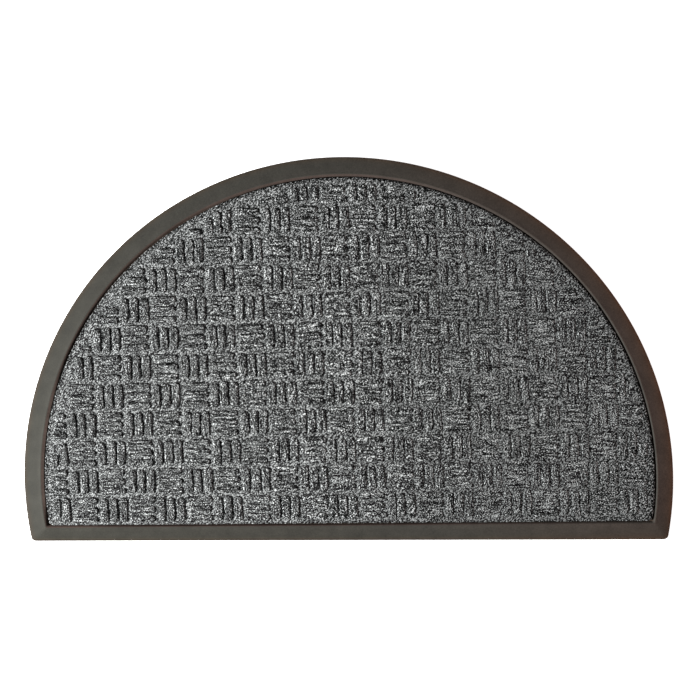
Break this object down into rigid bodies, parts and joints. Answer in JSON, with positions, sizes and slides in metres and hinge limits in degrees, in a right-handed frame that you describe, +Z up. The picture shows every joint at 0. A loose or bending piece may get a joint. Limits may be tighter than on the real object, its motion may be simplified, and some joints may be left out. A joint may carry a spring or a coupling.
{
  "type": "half round doormat",
  "caption": "Half round doormat: a bevelled rubber tray with a grey ribbed carpet inlay in a parquet pattern that scrapes and dries shoes.",
  "frame": {"origin": "on the underside, below the middle of the outline's bounding box", "axes": "+X along the straight edge, +Y from the straight edge towards the arc, +Z up"},
  "size_m": [0.75, 0.445, 0.008],
  "materials": {
    "dark_rubber": "moulded satin",
    "grey_needle_punch": "short needle-punched pile, heathered"
  },
  "bodies": {
    "root": {"rubber_backing": "dark_rubber", "carpet_inlay": "grey_needle_punch"}
  },
  "joints": []
}
